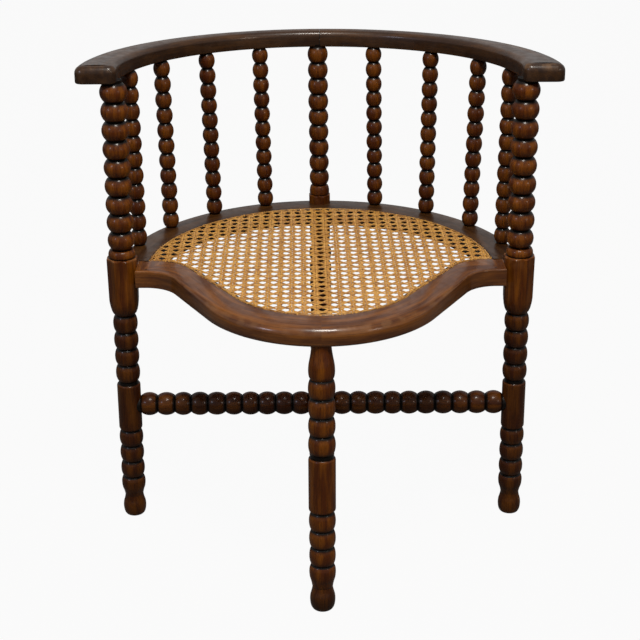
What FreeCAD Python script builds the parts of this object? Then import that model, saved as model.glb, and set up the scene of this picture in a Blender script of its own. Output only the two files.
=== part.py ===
"""A bobbin-turned corner chair: caned seat, half-round arm, three posts, a front leg and crossed stretchers.

Millimetres, +Z up. -Y is the front, where the raked leg is, and the back post stands at +Y. The chair is drawn
about the centre of the ring on which its posts and spindles stand, and is then moved so that the origin is on the
floor under the middle of the whole chair.
"""
import FreeCAD, Part
import math
import os

from FreeCAD import Vector

# Heights
seat_top = 412.0
seat_thickness = 26.0
arm_under_back = seat_top + 256.5
arm_thickness = 25.5
arm_slope = 2.8
stretcher_height = 188.0

# The ring of posts and spindles, and the rails that follow it
ring_radius = 288.0
side_post_splay = 0.65
spindles_each_side = 4
arm_inner_radius = ring_radius - 10.0
arm_outer_radius = ring_radius + 48.0
arm_outer_set_forward = 25.0
arm_end_forward = 20.0
arm_end_corner = 12.0
arm_top_bevel = 5.0
rim_outer_radius = ring_radius + 8.0
rim_top_bevel = 3.0

# The serpentine front of the seat frame: outer line and cane line
front_edge = 235.0
front_bow_radius = 178.0
front_hollow_corner = (ring_radius - 65.0, -24.0)
front_hollow_radius = 52.0
nose_top_bevel = 6.0
rail_joint_line = 18.0
cane_front_edge = 188.0
cane_bow_radius = 140.0
cane_hollow_corner = (ring_radius - 77.0, 20.0)
cane_hollow_radius = 62.0
cane_back_radius = ring_radius - 36.0
cane_back_centre = 2.0

# Cane
cane_ledge = 8.0
cane_sunk = 2.0
cane_thickness = 1.6
cane_pitch = 36.0
cane_strand = 12.5
cane_border = 7.0
cane_clearance = 0.3
binding_width = 4.5
binding_height = 1.4

# Side post, from the floor up, as (height, diameter). The plain length holds the stretcher, and the beads fill what is
# left between it and the foot below and the block above.
foot_outline = ((-4.0, 17.0), (0.0, 23.0), (4.5, 31.0), (14.4, 34.7), (23.0, 32.6), (34.0, 27.8), (44.0, 30.0))
low_bead_low = 66.2
low_bead_top = stretcher_height - 41.4
low_beads = 3
low_bead_width = 35.8
low_neck_width = 30.0
plain_low = stretcher_height - 37.5
plain_high = stretcher_height + 33.0
plain_width = 34.8
plain_end = 3.0
leg_bead_low = plain_high + 7.1
leg_bead_high = seat_top - 75.9
leg_beads = 4
leg_bead_width = 35.9
leg_neck_width = 29.5
block_round_width = 40.2
block_low = seat_top - 51.0
block_high = seat_top + 14.0
block_width = 43.0
block_taper = 1.5
block_edge = 2.5
ring_widest = seat_top + 18.5
ring_width = 38.0
upper_neck_low = seat_top + 26.6
upper_beads = 9
side_bead_width = 38.0
side_neck_width = 28.5

# Back post, where it differs
back_block_width = 34.0
back_bead_width = 31.3
back_neck_width = 24.1
back_neck_low = seat_top + 30.0

# Front leg; the vase's heights are measured down from the seat
leg_rake = 5.8
front_leg_under_seat = 15.6 - front_edge
front_leg_top_width = 26.9
front_vase_outline = ((-49.5, 30.0), (-44.0, 34.4), (-36.1, 35.9), (-28.0, 34.6), (-16.0, 30.0))
front_bead_low = plain_high + 8.3
front_bead_width = 36.9
front_neck_width = 32.0
front_plain_width = 37.4

# Spindles and stretchers
spindle_beads = 11
spindle_bead_width = 24.5
spindle_neck_width = 17.5
cross_beads_each_side = 10
front_stretcher_beads = 8
back_stretcher_beads = 10
stretcher_bead_width = 34.0
stretcher_neck_width = 25.0
crossing_block = 36.0

# Joinery
tenon_clearance = 0.15
post_tenon_width = 18.0
post_tenon_length = 14.0
spindle_tenon_width = 11.0
spindle_tenon_length = 12.0
stretcher_tenon_width = 15.0
stretcher_end_width = stretcher_tenon_width + 3.0
stretcher_tenon_length = 12.0
rail_tenon = (16.0, 12.0, 14.0)
rail_clearance = 0.3
dowel_width = 7.0
dowel_depth = 18.0
side_dowel_depth = 12.0
dowel_clearance = 0.1
peg_width = 4.0
peg_depth = 14.0
peg_places = ((ring_radius - 30.0, 33.0), (ring_radius - 36.0, -15.0))

# Flats round a turned piece, a tenon, a dowel or a peg; the blocks on the posts are true octagons
turned_sides = 8
octagon_sides = 8

origin = Vector(0, 0, 0)
along_x = Vector(1, 0, 0)
along_y = Vector(0, 1, 0)
along_z = Vector(0, 0, 1)
seat_under = seat_top - seat_thickness
big = 1000.0


# Turned work

def corner_share(sides):
    """How far out the corners of a turned piece lie, as a share of its radius, so that it keeps a round one's area."""
    step = 2 * math.pi / sides
    return math.sqrt(step / math.sin(step))


def flat_share(sides):
    """How far out the flats of a turned piece lie, as a share of its width."""
    return corner_share(sides) * math.cos(math.pi / sides) / 2


def lathe(outline, sides=turned_sides, across_flats=False):
    """A solid on the Z axis from (height, width) pairs; an octagonal block gives its widths across the flats."""
    share = 1 / math.cos(math.pi / sides) if across_flats else corner_share(sides)
    rings = []
    for height, width in outline:
        radius = width / 2 * share
        ring = []
        for side in range(sides):
            angle = (side + 0.5) * 2 * math.pi / sides
            ring.append(Vector(radius * math.cos(angle), radius * math.sin(angle), height))
        rings.append(ring)
    faces = [Part.Face(Part.makePolygon(rings[0] + rings[0][:1]))]
    faces.append(Part.Face(Part.makePolygon(rings[-1] + rings[-1][:1])))
    for lower, upper in zip(rings, rings[1:]):
        for side in range(sides):
            after = (side + 1) % sides
            corners = [lower[side], lower[after], upper[after], upper[side], lower[side]]
            faces.append(Part.Face(Part.makePolygon(corners)))
    shell = Part.makeShell(faces)
    shell.sewShape()
    solid = Part.makeSolid(Part.Shell(shell.Faces))
    if solid.Volume < 0:
        solid.reverse()
    return solid


def beads(low, high, count, bead_width, neck_width):
    """Rings for a run of beads, from the neck at low to the neck at high, without the first neck."""
    shoulder = 0.27
    pitch = (high - low) / count
    rings = []
    for bead in range(count):
        start = low + bead * pitch
        rings.append((start + shoulder * pitch, bead_width))
        rings.append((start + (1 - shoulder) * pitch, bead_width))
        rings.append((start + pitch, neck_width))
    return rings


def peg(start, direction, length, width):
    """A dowel, a peg or a tenon's outer form, from start along direction."""
    solid = lathe(((0.0, width), (length, width)))
    solid.Placement = FreeCAD.Placement(start, FreeCAD.Rotation(along_z, direction))
    return solid


def socket(start, direction, length, width, clearance=tenon_clearance):
    """What is cut away for such a piece, with clearance round it and past its end; start lies on the surface."""
    direction = Vector(direction).normalize()
    outside = 2.0
    return peg(start - direction * outside, direction, length + outside + clearance, width + 2 * clearance)


def fused(*solids):
    joined = solids[0]
    for solid in solids[1:]:
        joined = joined.fuse(solid)
    return joined.removeSplitter().Solids[0]


def cut_from(solid, tools):
    for tool in tools:
        solid = solid.cut(tool)
    return solid


# Where things stand

def arm_underside(y):
    return arm_under_back + (ring_radius - y) * math.tan(math.radians(arm_slope))


def side_post_x(height):
    """The centre line of a side post, which leans in towards the arm."""
    return ring_radius + (seat_top - height) * math.tan(math.radians(side_post_splay))


def front_leg_y(height):
    return front_leg_under_seat - (seat_under - height) * math.tan(math.radians(leg_rake))


def spindle_place(number):
    """Spindle 1 is next to the side post and the last one is next to the back post."""
    angle = math.radians(90.0 * number / (spindles_each_side + 1))
    return Vector(ring_radius * math.cos(angle), ring_radius * math.sin(angle), 0)


# Outlines in plan

def diagonal_turn(front, bow_radius, corner):
    """How far the front turns at its corner, to run straight into the bow."""
    corner_x, corner_y = corner
    centre_y = bow_radius - front
    reach = math.hypot(corner_x, corner_y - centre_y)
    return math.asin(bow_radius / reach) + math.atan2(corner_y - centre_y, corner_x)


def serpentine(front, bow_radius, corner, hollow_radius, end_x):
    """Edges of the right half of the front, from (end_x, corner y) round the hollow and the bow to (0, -front)."""
    corner_x, corner_y = corner
    centre_y = bow_radius - front
    reach = math.hypot(corner_x, corner_y - centre_y)
    turn = diagonal_turn(front, bow_radius, corner)
    heading = math.pi + turn
    room = 0.95 * (end_x - corner_x)
    cut_back = min(hollow_radius * math.tan(turn / 2), room)
    hollow_radius = cut_back / math.tan(turn / 2)
    run = math.sqrt(reach ** 2 - bow_radius ** 2)
    hollow_start = Vector(corner_x + cut_back, corner_y, 0)
    hollow_centre = Vector(corner_x + cut_back, corner_y - hollow_radius, 0)
    middle_angle = math.pi / 2 + turn / 2
    hollow_middle = hollow_centre + Vector(math.cos(middle_angle), math.sin(middle_angle), 0) * hollow_radius
    forward = Vector(math.cos(heading), math.sin(heading), 0)
    hollow_end = Vector(corner_x, corner_y, 0) + forward * cut_back
    bow_start = Vector(corner_x, corner_y, 0) + forward * run
    start_angle = math.atan2(bow_start.y - centre_y, bow_start.x)
    middle_angle = (start_angle - math.pi / 2) / 2
    bow_middle = Vector(bow_radius * math.cos(middle_angle), centre_y + bow_radius * math.sin(middle_angle), 0)
    bow_end = Vector(0, -front, 0)
    return [
        Part.LineSegment(Vector(end_x, corner_y, 0), hollow_start).toShape(),
        Part.Arc(hollow_start, hollow_middle, hollow_end).toShape(),
        Part.LineSegment(hollow_end, bow_start).toShape(),
        Part.Arc(bow_start, bow_middle, bow_end).toShape(),
    ]


def line(a, b):
    return Part.LineSegment(a, b).toShape()


def prism(edges, low, high):
    face = Part.Face(Part.Wire(Part.__sortEdges__(edges)))
    face.translate(Vector(0, 0, low))
    return face.extrude(Vector(0, 0, high - low))


def disc(radius, y, low, high):
    return Part.makeCylinder(radius, high - low, Vector(0, y, low))


def box(x_low, x_high, y_low, y_high, z_low, z_high):
    return Part.makeBox(x_high - x_low, y_high - y_low, z_high - z_low, Vector(x_low, y_low, z_low))


def cane_area(inset, low, high):
    """The right half of the caned area, drawn in by inset all round, between two heights."""
    corner_x, corner_y = cane_hollow_corner
    half_turn = diagonal_turn(cane_front_edge, cane_bow_radius, cane_hollow_corner) / 2
    corner = (corner_x - inset * math.tan(half_turn), corner_y + inset)
    back_radius = cane_back_radius - inset
    end_x = math.sqrt(back_radius ** 2 - (corner[1] - cane_back_centre) ** 2)
    edges = serpentine(cane_front_edge - inset, cane_bow_radius - inset, corner, cane_hollow_radius + inset, end_x)
    start = Vector(end_x, corner[1], 0)
    back = Vector(0, cane_back_centre + back_radius, 0)
    diagonal = math.sqrt(0.5) * back_radius
    edges.append(Part.Arc(start, Vector(diagonal, cane_back_centre + diagonal, 0), back).toShape())
    edges.append(line(back, Vector(0, -(cane_front_edge - inset), 0)))
    return prism(edges, low, high)


def mirrored(solid):
    return solid.mirror(origin, along_x)


# Posts and legs

def foot_and_beads(scale, bead_width, neck_width, plain):
    """Foot, low beads and plain length; the lowest bead swells out of the ankle."""
    rings = []
    for height, width in foot_outline:
        rings.append((height, width * scale))
    ankle = foot_outline[-1][0]
    swell = low_bead_low - ankle
    rings.append((ankle + 0.45 * swell, bead_width))
    rings.append((low_bead_low - 0.25 * swell, bead_width))
    rings.append((low_bead_low, neck_width))
    rings += beads(low_bead_low, low_bead_top, low_beads, bead_width, neck_width)
    rings.append((plain_low + plain_end, plain))
    rings.append((plain_high - plain_end, plain))
    return rings


def post(block, bead_width, neck_width, neck_low, top):
    """A whole post on the Z axis, with its octagonal block and the tenon at its top."""
    swell = block_low - leg_bead_high
    share = block / block_width
    rings = foot_and_beads(1.0, low_bead_width, low_neck_width, plain_width)
    rings.append((leg_bead_low, leg_neck_width))
    rings += beads(leg_bead_low, leg_bead_high, leg_beads, leg_bead_width, leg_neck_width)
    rings.append((leg_bead_high + 0.25 * swell, 0.9 * block_round_width * share))
    rings.append((leg_bead_high + 0.6 * swell, block_round_width * share))
    rings.append((block_low + block_edge, block_round_width * share))
    leg = lathe(rings)
    narrow = block - block_taper
    octagon = lathe(
        ((block_low, narrow), (block_high - block_edge, block), (block_high, block - 2 * block_edge)),
        octagon_sides,
        True,
    )
    upper = [(block_high - block_edge, ring_width * share), (ring_widest, ring_width * share), (neck_low, neck_width)]
    upper += beads(neck_low, top, upper_beads, bead_width, neck_width)
    upper.append((top, post_tenon_width))
    upper.append((top + post_tenon_length, post_tenon_width))
    return fused(leg, octagon, lathe(upper))


side_top = arm_underside(side_neck_width / 2)
side_lean = FreeCAD.Rotation(along_y, -side_post_splay)
side_foot = Vector(side_post_x(0), 0, 0)
side_placement = FreeCAD.Placement(side_foot, side_lean)
side_up = side_lean.multVec(along_z)

right_post = post(block_width, side_bead_width, side_neck_width, upper_neck_low, side_top)
right_post.Placement = side_placement
below_floor = box(-big, big, -big, big, -big, 0)
right_post = right_post.cut(below_floor)

back_top = arm_underside(ring_radius + back_neck_width / 2)
back_place = Vector(0, ring_radius, 0)
back_post = post(back_block_width, back_bead_width, back_neck_width, back_neck_low, back_top)
back_post.translate(back_place)
back_post = back_post.cut(below_floor)


def front_leg_solid():
    """The front leg, cut level at the floor; its height is measured along its own axis."""
    rake = 1 / math.cos(math.radians(leg_rake))
    past_seat = 6.0
    rings = foot_and_beads(front_plain_width / plain_width, front_bead_width, front_neck_width, front_plain_width)
    rings.append((front_bead_low, front_neck_width))
    top_neck = seat_under + front_vase_outline[0][0]
    rings += beads(front_bead_low, top_neck, leg_beads, front_bead_width, front_neck_width)[:-1]
    for below_seat, width in front_vase_outline:
        rings.append((seat_under + below_seat, width))
    rings.append((seat_under + past_seat, front_leg_top_width))
    stretched = []
    for height, width in rings:
        stretched.append((height * rake, width))
    tenon_low = seat_under - front_leg_top_width
    tenon_high = seat_under + post_tenon_length
    tenon = lathe(((tenon_low * rake, post_tenon_width), (tenon_high * rake, post_tenon_width)))
    leg = lathe(stretched)
    for turned in (leg, tenon):
        turned.Placement = FreeCAD.Placement(Vector(0, front_leg_y(0), 0), front_lean)
    leg = leg.cut(box(-big, big, -big, big, seat_under, big))
    return fused(leg, tenon).cut(below_floor)


front_lean = FreeCAD.Rotation(along_x, -leg_rake)
front_up = front_lean.multVec(along_z)
front_leg = front_leg_solid()

# Spindles

spindles = []
spindle_sockets_low = []
spindle_sockets_high = []
for number in range(1, spindles_each_side + 1):
    place = spindle_place(number)
    top = arm_underside(place.y + spindle_neck_width / 2)
    rings = [
        (seat_top - spindle_tenon_length, spindle_tenon_width),
        (seat_top, spindle_tenon_width),
        (seat_top, spindle_neck_width),
    ]
    rings += beads(seat_top, top, spindle_beads, spindle_bead_width, spindle_neck_width)
    rings.append((top, spindle_tenon_width))
    rings.append((top + spindle_tenon_length, spindle_tenon_width))
    spindle = lathe(rings)
    spindle.translate(place)
    spindles.append(spindle)
    foot = Vector(place.x, place.y, seat_top)
    head = Vector(place.x, place.y, top)
    spindle_sockets_low.append(socket(foot, -along_z, spindle_tenon_length, spindle_tenon_width))
    spindle_sockets_high.append(socket(head, along_z, spindle_tenon_length, spindle_tenon_width))

# Arm

def arm_half():
    """The right half of the arm, flat in plan and tilted up towards its front end."""
    outer_y = -arm_outer_set_forward
    back_outer = Vector(0, outer_y + arm_outer_radius, 0)
    back_inner = Vector(0, arm_inner_radius, 0)
    end_y = -arm_end_forward
    end_outer = Vector(math.sqrt(arm_outer_radius ** 2 - (end_y - outer_y) ** 2), end_y, 0)
    end_inner = Vector(math.sqrt(arm_inner_radius ** 2 - end_y ** 2), end_y, 0)
    diagonal = math.sqrt(0.5)
    outer_middle = Vector(diagonal * arm_outer_radius, outer_y + diagonal * arm_outer_radius, 0)
    inner_middle = Vector(diagonal * arm_inner_radius, diagonal * arm_inner_radius, 0)
    edges = [
        Part.Arc(back_outer, outer_middle, end_outer).toShape(),
        line(end_outer, end_inner),
        Part.Arc(end_inner, inner_middle, back_inner).toShape(),
        line(back_inner, back_outer),
    ]
    arm = prism(edges, 0, arm_thickness)
    ends = []
    for edge in arm.Edges:
        upright = edge.BoundBox.ZLength > arm_thickness / 2
        if upright and edge.BoundBox.YMax < end_y + 1:
            ends.append(edge)
    arm = arm.makeFillet(arm_end_corner, ends)
    arm = bevelled(arm, arm_thickness, arm_top_bevel)
    arm.rotate(Vector(0, ring_radius, 0), along_x, -arm_slope)
    arm.translate(Vector(0, 0, arm_under_back))
    return arm


def bevelled(solid, height, bevel):
    """Bevels the edges of a flat piece at one height, except on the joint at x = 0."""
    chosen = []
    for edge in solid.Edges:
        bounds = edge.BoundBox
        level = abs(bounds.ZMin - height) < 0.01 and abs(bounds.ZMax - height) < 0.01
        at_joint = bounds.XMax < 0.01
        if level and not at_joint:
            chosen.append(edge)
    return solid.makeChamfer(bevel, chosen)


def dowel(middle, direction, depth=dowel_depth):
    """A dowel that reaches depth each way from the middle of a joint, and what is cut away for it."""
    reach = depth - dowel_clearance
    solid = peg(middle - direction * reach, direction, 2 * reach, dowel_width)
    hole = peg(middle - direction * depth, direction, 2 * depth, dowel_width + 2 * dowel_clearance)
    return solid, hole


arm_cuts = list(spindle_sockets_high)
side_head = side_placement.multVec(Vector(0, 0, side_top))
arm_cuts.append(socket(side_head, side_up, post_tenon_length, post_tenon_width))
back_head = Vector(0, ring_radius, back_top)
arm_cuts.append(socket(back_head, along_z, post_tenon_length, post_tenon_width))
arm_dowel_y = arm_outer_radius - arm_outer_set_forward - dowel_width
arm_dowel_height = arm_underside(arm_dowel_y) + arm_thickness / 2
arm_dowel, arm_dowel_hole = dowel(Vector(0, arm_dowel_y, arm_dowel_height), along_x)
right_arm_rail = cut_from(arm_half(), arm_cuts + [arm_dowel_hole])

# Seat frame

side_at_seat = side_post_x(seat_top - seat_thickness / 2)
rail_end_x = side_at_seat - block_width / 2 - rail_clearance
block_space = lathe(((block_low, block_width), (block_high, block_width)), octagon_sides, True)
block_space.Placement = side_placement
back_block_space = lathe(((block_low, back_block_width), (block_high, back_block_width)), octagon_sides, True)
back_block_space.translate(back_place)
cane_recess = cane_area(0, seat_top - cane_sunk, seat_top + 1)
cane_opening = cane_area(cane_ledge, seat_under - 1, seat_top + 1)


def front_rail():
    """Serpentine rail from the side post to the joint over the front leg."""
    edges = serpentine(front_edge, front_bow_radius, front_hollow_corner, front_hollow_radius, rail_end_x)
    corner_y = front_hollow_corner[1]
    edges.append(line(Vector(rail_end_x, corner_y, 0), Vector(rail_end_x, rail_joint_line, 0)))
    edges.append(line(Vector(rail_end_x, rail_joint_line, 0), Vector(0, rail_joint_line, 0)))
    edges.append(line(Vector(0, rail_joint_line, 0), Vector(0, -front_edge, 0)))
    rail = prism(edges, seat_under, seat_top)
    nose = []
    for edge in rail.Edges:
        bounds = edge.BoundBox
        outer = bounds.YMax < corner_y + 0.01 and bounds.XMax < rail_end_x - 1 and bounds.XLength > 1
        if outer and abs(bounds.ZMin - seat_top) < 0.01:
            nose.append(edge)
    rail = rail.makeChamfer(nose_top_bevel, nose)
    rail = cut_from(rail, [cane_opening, cane_recess])
    length, width, height = rail_tenon
    middle = seat_top - seat_thickness / 2
    tenon = box(rail_end_x - 1, rail_end_x + length, -width / 2, width / 2, middle - height / 2, middle + height / 2)
    return rail.fuse(tenon).removeSplitter()


def back_rail():
    """Quarter ring from the side post to the joint in front of the back post."""
    rail = disc(rim_outer_radius, 0, seat_under, seat_top)
    rail = rail.common(box(0, big, 0, big, seat_under, seat_top))
    crest = []
    for edge in rail.Edges:
        bounds = edge.BoundBox
        if abs(bounds.ZMin - seat_top) < 0.01 and bounds.XLength > 1 and bounds.YLength > 1:
            crest.append(edge)
    rail = rail.makeChamfer(rim_top_bevel, crest)
    over_front_rail = box(-1, rail_end_x + rail_clearance, -1, rail_joint_line, seat_under - 1, seat_top + 1)
    beside_block = box(-1, big, -1, block_width / 5, seat_under - 1, seat_top + 1)
    return cut_from(rail, [over_front_rail, beside_block, cane_opening, cane_recess])


middle_height = seat_top - seat_thickness / 2
frame_inner_back = cane_back_centre + cane_back_radius - cane_ledge
frame_inner_side = cane_back_radius - cane_ledge

front_dowel, front_hole = dowel(Vector(0, -cane_front_edge - dowel_width, middle_height), along_x)
back_dowel_y = (ring_radius - back_block_width / 2 + frame_inner_back) / 2
back_dowel, back_hole = dowel(Vector(0, back_dowel_y, middle_height), along_x)
corner_dowel_x = (rail_end_x + frame_inner_side) / 2
corner_dowel, corner_hole = dowel(
    Vector(corner_dowel_x, rail_joint_line, middle_height), along_y, side_dowel_depth
)
post_dowel, post_hole = dowel(
    Vector(side_at_seat, block_width / 2, middle_height), along_y, side_dowel_depth
)
dowels = [arm_dowel, front_dowel, back_dowel]
for side_dowel in (corner_dowel, post_dowel):
    dowels += [side_dowel, mirrored(side_dowel)]

pegs = []
peg_holes = []
for x, y in peg_places:
    top = Vector(x, y, seat_top)
    right_peg = peg(top, -along_z, peg_depth, peg_width)
    pegs += [right_peg, mirrored(right_peg)]
    peg_holes.append(socket(top, -along_z, peg_depth, peg_width, dowel_clearance))

front_leg_head = Vector(0, front_leg_y(seat_under), seat_under)
leg_socket = socket(front_leg_head, front_up, post_tenon_length / math.cos(math.radians(leg_rake)), post_tenon_width)
front_right_rail = cut_from(front_rail(), [leg_socket, front_hole, corner_hole] + peg_holes)
back_cuts = [block_space, back_block_space, back_hole, corner_hole, post_hole] + peg_holes + spindle_sockets_low
back_right_rail = cut_from(back_rail(), back_cuts)
tenon_length, tenon_width, tenon_height = rail_tenon
tenon_space = box(
    rail_end_x - 2,
    rail_end_x + tenon_length + tenon_clearance,
    -tenon_width / 2 - tenon_clearance,
    tenon_width / 2 + tenon_clearance,
    middle_height - tenon_height / 2 - tenon_clearance,
    middle_height + tenon_height / 2 + tenon_clearance,
)
right_post = cut_from(right_post, [tenon_space, post_hole])

# Cane

def cane_panel_solid():
    """One flat net: the caned area with a square gap between each pair of strands."""
    low = seat_top - cane_sunk
    high = low + cane_thickness
    half = cane_area(cane_clearance, low, high)
    panel = half.fuse(mirrored(half)).removeSplitter()
    inner = cane_area(cane_border, low, high)
    gap = cane_pitch - cane_strand
    gaps = []
    columns = int(cane_back_radius / cane_pitch) + 1
    rows = int((cane_back_radius + cane_front_edge) / cane_pitch) + 1
    for column in range(columns):
        for row in range(rows):
            x = (column + 0.5) * cane_pitch - gap / 2
            y = row * cane_pitch - cane_front_edge + cane_border
            corners = (Vector(x, y, low), Vector(x + gap, y, low), Vector(x, y + gap, low), Vector(x + gap, y + gap, low))
            if all(inner.isInside(corner, 0.01, True) for corner in corners):
                hole = box(x, x + gap, y, y + gap, low - 1, high + 1)
                gaps += [hole, mirrored(hole)]
    print("cane gaps", len(gaps))
    return panel.cut(Part.makeCompound(gaps))


def binding_solid():
    """A thin cane bound down over the edge of the woven panel."""
    low = seat_top - cane_sunk + cane_thickness
    high = low + binding_height
    inner = cane_area(cane_clearance + binding_width, low - 1, high + 1)
    half = cane_area(cane_clearance, low, high).cut(inner)
    return half.fuse(mirrored(half)).removeSplitter()


cane_panel = cane_panel_solid()
cane_binding = binding_solid()

# Stretchers

def stretcher(start, direction, length, count, blind_end):
    """A beaded stretcher with a tenon at each end; blind_end leaves the near tenon off."""
    rings = []
    if not blind_end:
        rings.append((-stretcher_tenon_length, stretcher_tenon_width))
        rings.append((0.0, stretcher_tenon_width))
    rings.append((0.0, stretcher_neck_width))
    rings += beads(0.0, length, count, stretcher_bead_width, stretcher_neck_width)
    rings[-1] = (length, stretcher_end_width)
    rings.append((length, stretcher_tenon_width))
    rings.append((length + stretcher_tenon_length, stretcher_tenon_width))
    piece = lathe(rings)
    piece.Placement = FreeCAD.Placement(start, FreeCAD.Rotation(along_z, direction))
    return piece


half_block = crossing_block / 2
centre = Vector(0, 0, stretcher_height)
block = box(
    -half_block, half_block, -half_block, half_block, stretcher_height - half_block, stretcher_height + half_block
)
half_flat = flat_share(turned_sides)
cross_shoulder_gap = stretcher_end_width / 2 * math.tan(math.radians(side_post_splay))
cross_reach = side_post_x(stretcher_height) - plain_width * half_flat - cross_shoulder_gap
cross_length = cross_reach - half_block
right_arm_of_cross = stretcher(
    centre + along_x * half_block, along_x, cross_length, cross_beads_each_side, True
)
cross_stretcher = fused(block, right_arm_of_cross, mirrored(right_arm_of_cross))

front_shoulder_gap = stretcher_end_width / 2 * math.tan(math.radians(leg_rake))
front_reach = -front_leg_y(stretcher_height) - front_plain_width * half_flat - front_shoulder_gap
front_stretcher = stretcher(
    centre - along_y * half_block, -along_y, front_reach - half_block, front_stretcher_beads, False
)
back_reach = ring_radius - plain_width * half_flat
back_stretcher = stretcher(
    centre + along_y * half_block, along_y, back_reach - half_block, back_stretcher_beads, False
)
block_sockets = []
for outward in (along_y, -along_y):
    face_middle = centre + outward * half_block
    block_sockets.append(socket(face_middle, -outward, stretcher_tenon_length, stretcher_tenon_width))
cross_stretcher = cut_from(cross_stretcher, block_sockets)


def leg_socket_at(reach, outward):
    return socket(centre + outward * reach, outward, stretcher_tenon_length, stretcher_tenon_width)


right_post = right_post.cut(leg_socket_at(cross_reach, along_x))
front_leg = front_leg.cut(leg_socket_at(front_reach, -along_y))
back_post = back_post.cut(leg_socket_at(back_reach, along_y))

# Sub-parts, each in its own file

nodes = {
    "right_post": right_post,
    "left_post": mirrored(right_post),
    "back_post": back_post,
    "front_leg": front_leg,
    "right_arm_rail": right_arm_rail,
    "left_arm_rail": mirrored(right_arm_rail),
    "front_right_rail": front_right_rail,
    "front_left_rail": mirrored(front_right_rail),
    "back_right_rail": back_right_rail,
    "back_left_rail": mirrored(back_right_rail),
    "cane_panel": cane_panel,
    "cane_binding": cane_binding,
    "cross_stretcher": cross_stretcher,
    "front_stretcher": front_stretcher,
    "back_stretcher": back_stretcher,
    "frame_dowels": Part.makeCompound(dowels),
    "frame_pegs": Part.makeCompound(pegs),
}
for number, spindle in enumerate(spindles, 1):
    nodes["right_spindle_%d" % number] = spindle
    nodes["left_spindle_%d" % number] = mirrored(spindle)

whole = Part.makeCompound(list(nodes.values())).optimalBoundingBox(False)
to_origin = Vector(0, -(whole.YMin + whole.YMax) / 2, 0)
print("moved back to front by", round(to_origin.y, 3))
os.makedirs("parts", exist_ok=True)
for name, shape in nodes.items():
    shape.translate(to_origin)
    shape.exportStep("parts/%s.step" % name)
    print(name, len(shape.Solids), round(shape.Volume / 1000, 1), "cm3", shape.isValid())
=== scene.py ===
# %% [markdown]
# # A bobbin-turned corner chair
# The chair is dark oak with a hand-woven cane seat. Two sawn arm halves meet at the back and stand on
# three turned posts and eight spindles, and the seat frame runs to a rounded nose over a single raked
# front leg. The packed model gives every piece its place. Here each one is drawn again with its smooth
# turned, rounded or woven shape, and is given its finish.

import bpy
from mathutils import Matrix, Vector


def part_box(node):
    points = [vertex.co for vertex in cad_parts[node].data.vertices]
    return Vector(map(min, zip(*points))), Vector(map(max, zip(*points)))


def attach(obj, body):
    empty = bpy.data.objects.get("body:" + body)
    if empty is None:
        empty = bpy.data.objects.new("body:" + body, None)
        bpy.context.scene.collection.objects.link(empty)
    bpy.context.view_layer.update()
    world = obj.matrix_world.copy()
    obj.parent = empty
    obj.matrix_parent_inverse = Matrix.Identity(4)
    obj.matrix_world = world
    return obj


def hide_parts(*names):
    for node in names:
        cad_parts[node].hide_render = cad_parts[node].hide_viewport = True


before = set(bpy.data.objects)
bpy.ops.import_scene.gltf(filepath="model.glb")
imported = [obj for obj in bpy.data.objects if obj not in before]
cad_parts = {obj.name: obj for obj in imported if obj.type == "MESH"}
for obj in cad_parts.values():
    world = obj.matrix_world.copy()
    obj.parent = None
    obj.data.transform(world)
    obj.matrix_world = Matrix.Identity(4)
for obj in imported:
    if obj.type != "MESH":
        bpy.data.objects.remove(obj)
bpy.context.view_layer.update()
print("nodes in the frame:", len(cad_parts))

# %% [markdown]
# ## Measures
# Chair makers lay such a chair out about the centre of the ring that its posts and spindles stand on. All
# sizes below are in millimetres from that centre and up from the floor, and one function turns them into
# Blender's metres. The back post's own box says how far the ring's centre lies from the origin.

# %% Millimetres about the centre of the ring
import math
import random

import bmesh
import bpy
from mathutils import Matrix, Vector

MM = 0.001
RING_RADIUS = 288.0
SEAT_TOP = 412.0
SEAT_UNDER = 386.0
SIDES = (("left", -1), ("right", 1))

low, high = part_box("back_post")
ring_centre_y = (low.y + high.y) / 2 - RING_RADIUS * MM


def metres(x, y, z):
    """A point in millimetres about the ring's centre, as Blender wants it."""
    return Vector((x * MM, y * MM + ring_centre_y, z * MM))


def clamped(value):
    """The value, kept between 0 and 1."""
    return min(max(value, 0.0), 1.0)


print("ring centre at y = %.2f mm" % (ring_centre_y / MM))

# %% [markdown]
# ## Colours and nodes
# Colours are written the way a paint chip is, as sRGB hex, and a shader wants them linear. One small
# function adds a node, sets it up and links it, so that each material below reads as a short list of what
# the surface has.

# %% Colour and node helpers
def linear(hex_colour):
    """Linear RGBA from an sRGB hex colour."""
    channels = []
    for start in (1, 3, 5):
        value = int(hex_colour[start:start + 2], 16) / 255
        channels.append(value / 12.92 if value <= 0.04045 else ((value + 0.055) / 1.055) ** 2.4)
    return (*channels, 1.0)


def add_node(tree, kind, settings=None, inputs=None):
    """A new node; an input that is given a socket is linked, and any other value is set on it."""
    node = tree.nodes.new(kind)
    for name, value in (settings or {}).items():
        setattr(node, name, value)
    for name, value in (inputs or {}).items():
        if isinstance(value, bpy.types.NodeSocket):
            tree.links.new(value, node.inputs[name])
        else:
            node.inputs[name].default_value = value
    return node


def new_material(name):
    """An empty material and its node tree."""
    material = bpy.data.materials.new(name)
    material.use_nodes = True
    tree = material.node_tree
    tree.nodes.clear()
    return material, tree


print("oak brown is", [round(value, 4) for value in linear("#4a2812")[:3]])

# %% [markdown]
# ## Patterns and layers
# Wood and cane get their look from a few patterns at real sizes, each laid over the last: a plank's broad
# figure, then its fine lines, then what a century has added. So one function stretches noise to a size in
# millimetres, and another lays colours over one another, each by how strongly its pattern shows.

# %% Patterns and layers of colour
EASED = {"interpolation_type": "SMOOTHSTEP"}


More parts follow.
